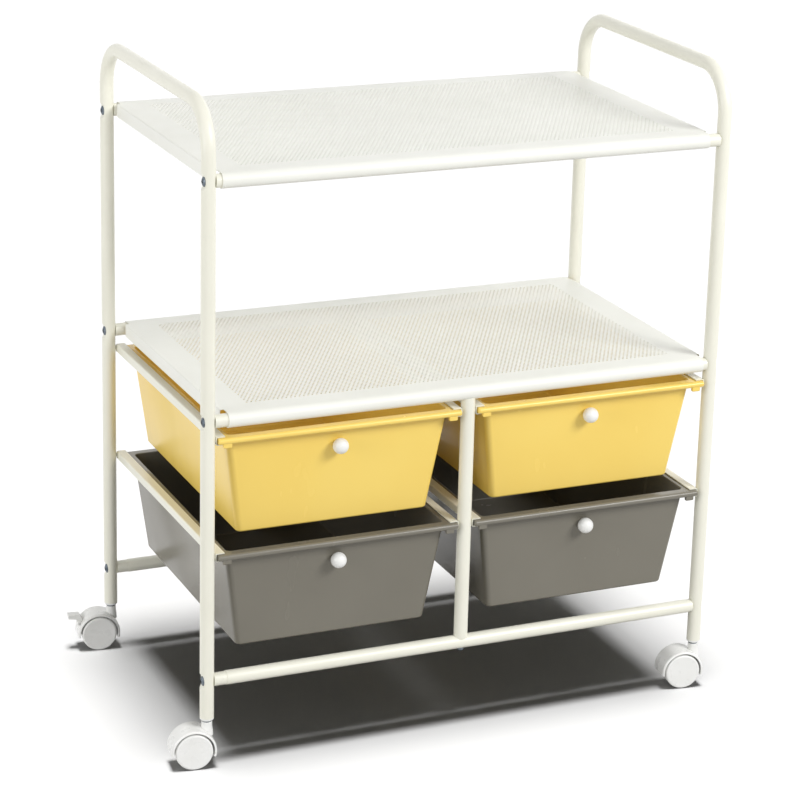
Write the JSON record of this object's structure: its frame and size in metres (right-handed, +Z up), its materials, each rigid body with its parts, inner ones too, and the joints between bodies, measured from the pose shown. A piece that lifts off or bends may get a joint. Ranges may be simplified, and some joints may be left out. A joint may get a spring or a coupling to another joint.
{
  "type": "rolling drawer cart",
  "caption": "Tubular metal trolley with perforated shelves, sliding moulded drawers with round knobs, push handles and twin-wheel swivel casters.",
  "frame": {"origin": "on the floor, under the middle of the cart's overall box", "axes": "+X to the right seen from the drawers' front, +Y to the rear, +Z up"},
  "size_m": [0.6842, 0.3858, 0.7596],
  "materials": {
    "ivory_paint": "semi-gloss",
    "deck_paint": "semi-gloss",
    "yellow_plastic": "satin",
    "grey_plastic": "satin",
    "white_plastic": "satin",
    "ivory_plastic": "satin",
    "plated_steel": "plated"
  },
  "bodies": {
    "frame": {"left_side_frame": "ivory_paint", "right_side_frame": "ivory_paint", "top_front_bar": "ivory_paint", "middle_front_bar": "ivory_paint", "bottom_front_bar": "ivory_paint", "centre_front_post": "ivory_paint", "top_rear_bar": "ivory_paint", "middle_rear_bar": "ivory_paint", "bottom_rear_bar": "ivory_paint", "centre_rear_post": "ivory_paint", "bar_end_plugs": "ivory_plastic", "frame_bolts": "plated_steel", "post_end_plugs": "white_plastic", "post_screws": "plated_steel", "top_shelf_deck": "deck_paint", "middle_shelf_deck": "deck_paint", "leg_sockets": "white_plastic", "upper_left_outer_rail": "ivory_paint", "upper_left_inner_rail": "ivory_paint", "upper_right_outer_rail": "ivory_paint", "upper_right_inner_rail": "ivory_paint", "lower_left_outer_rail": "ivory_paint", "lower_left_inner_rail": "ivory_paint", "lower_right_outer_rail": "ivory_paint", "lower_right_inner_rail": "ivory_paint"},
    "upper_left_drawer_unit": {"upper_left_drawer": "yellow_plastic", "upper_left_knob": "white_plastic", "upper_left_knob_screw": "plated_steel"},
    "upper_right_drawer_unit": {"upper_right_drawer": "yellow_plastic", "upper_right_knob": "white_plastic", "upper_right_knob_screw": "plated_steel"},
    "lower_left_drawer_unit": {"lower_left_drawer": "grey_plastic", "lower_left_knob": "white_plastic", "lower_left_knob_screw": "plated_steel"},
    "lower_right_drawer_unit": {"lower_right_drawer": "grey_plastic", "lower_right_knob": "white_plastic", "lower_right_knob_screw": "plated_steel"},
    "front_left_caster": {"front_left_caster_stem": "plated_steel", "front_left_caster_hood": "white_plastic", "front_left_caster_axle": "plated_steel"},
    "front_left_front_wheel_body": {"front_left_front_wheel": "white_plastic"},
    "front_left_rear_wheel_body": {"front_left_rear_wheel": "white_plastic"},
    "front_right_caster": {"front_right_caster_stem": "plated_steel", "front_right_caster_hood": "white_plastic", "front_right_caster_axle": "plated_steel"},
    "front_right_front_wheel_body": {"front_right_front_wheel": "white_plastic"},
    "front_right_rear_wheel_body": {"front_right_rear_wheel": "white_plastic"},
    "rear_left_caster": {"rear_left_caster_stem": "plated_steel", "rear_left_caster_hood": "white_plastic", "rear_left_caster_axle": "plated_steel"},
    "rear_left_front_wheel_body": {"rear_left_front_wheel": "white_plastic"},
    "rear_left_rear_wheel_body": {"rear_left_rear_wheel": "white_plastic"},
    "rear_left_brake_lever_body": {"rear_left_brake_lever": "white_plastic"},
    "rear_right_caster": {"rear_right_caster_stem": "plated_steel", "rear_right_caster_hood": "white_plastic", "rear_right_caster_axle": "plated_steel"},
    "rear_right_front_wheel_body": {"rear_right_front_wheel": "white_plastic"},
    "rear_right_rear_wheel_body": {"rear_right_rear_wheel": "white_plastic"},
    "rear_right_brake_lever_body": {"rear_right_brake_lever": "white_plastic"}
  },
  "joints": [
    {"name": "upper_left_drawer_slide", "type": "slide", "parent": "frame", "child": "upper_left_drawer_unit", "axis": [0, -1, 0], "range_m": [0, 0.24]},
    {"name": "upper_right_drawer_slide", "type": "slide", "parent": "frame", "child": "upper_right_drawer_unit", "axis": [0, -1, 0], "range_m": [0, 0.24]},
    {"name": "lower_left_drawer_slide", "type": "slide", "parent": "frame", "child": "lower_left_drawer_unit", "axis": [0, -1, 0], "range_m": [0, 0.24]},
    {"name": "lower_right_drawer_slide", "type": "slide", "parent": "frame", "child": "lower_right_drawer_unit", "axis": [0, -1, 0], "range_m": [0, 0.24]},
    {"name": "front_left_caster_swivel", "type": "hinge", "parent": "frame", "child": "front_left_caster", "pos_m": [-0.28807, -0.1768, 0.054], "axis": [0, 0, 1], "continuous": true},
    {"name": "front_left_front_wheel_spin", "type": "hinge", "parent": "front_left_caster", "child": "front_left_front_wheel_body", "pos_m": [-0.30567, -0.18341, 0.0212], "axis": [0.1392, 0.9903, 0], "continuous": true},
    {"name": "front_left_rear_wheel_spin", "type": "hinge", "parent": "front_left_caster", "child": "front_left_rear_wheel_body", "pos_m": [-0.30316, -0.16559, 0.0212], "axis": [0.1392, 0.9903, 0], "continuous": true},
    {"name": "front_right_caster_swivel", "type": "hinge", "parent": "frame", "child": "front_right_caster", "pos_m": [0.33093, -0.1768, 0.054], "axis": [0, 0, 1], "continuous": true},
    {"name": "front_right_front_wheel_spin", "type": "hinge", "parent": "front_right_caster", "child": "front_right_front_wheel_body", "pos_m": [0.31333, -0.18341, 0.0212], "axis": [0.1392, 0.9903, 0], "continuous": true},
    {"name": "front_right_rear_wheel_spin", "type": "hinge", "parent": "front_right_caster", "child": "front_right_rear_wheel_body", "pos_m": [0.31584, -0.16559, 0.0212], "axis": [0.1392, 0.9903, 0], "continuous": true},
    {"name": "rear_left_caster_swivel", "type": "hinge", "parent": "frame", "child": "rear_left_caster", "pos_m": [-0.28807, 0.1722, 0.054], "axis": [0, 0, 1], "continuous": true},
    {"name": "rear_left_front_wheel_spin", "type": "hinge", "parent": "rear_left_caster", "child": "rear_left_front_wheel_body", "pos_m": [-0.30567, 0.16559, 0.0212], "axis": [0.1392, 0.9903, 0], "continuous": true},
    {"name": "rear_left_rear_wheel_spin", "type": "hinge", "parent": "rear_left_caster", "child": "rear_left_rear_wheel_body", "pos_m": [-0.30316, 0.18341, 0.0212], "axis": [0.1392, 0.9903, 0], "continuous": true},
    {"name": "rear_left_brake_lever_press", "type": "hinge", "parent": "rear_left_caster", "child": "rear_left_brake_lever_body", "pos_m": [-0.3274, 0.17773, 0.0346], "axis": [-0.1392, -0.9903, 0], "range_deg": [0, 20]},
    {"name": "rear_right_caster_swivel", "type": "hinge", "parent": "frame", "child": "rear_right_caster", "pos_m": [0.33093, 0.1722, 0.054], "axis": [0, 0, 1], "continuous": true},
    {"name": "rear_right_front_wheel_spin", "type": "hinge", "parent": "rear_right_caster", "child": "rear_right_front_wheel_body", "pos_m": [0.31333, 0.16559, 0.0212], "axis": [0.1392, 0.9903, 0], "continuous": true},
    {"name": "rear_right_rear_wheel_spin", "type": "hinge", "parent": "rear_right_caster", "child": "rear_right_rear_wheel_body", "pos_m": [0.31584, 0.18341, 0.0212], "axis": [0.1392, 0.9903, 0], "continuous": true},
    {"name": "rear_right_brake_lever_press", "type": "hinge", "parent": "rear_right_caster", "child": "rear_right_brake_lever_body", "pos_m": [0.2916, 0.17773, 0.0346], "axis": [-0.1392, -0.9903, 0], "range_deg": [0, 20]}
  ]
}
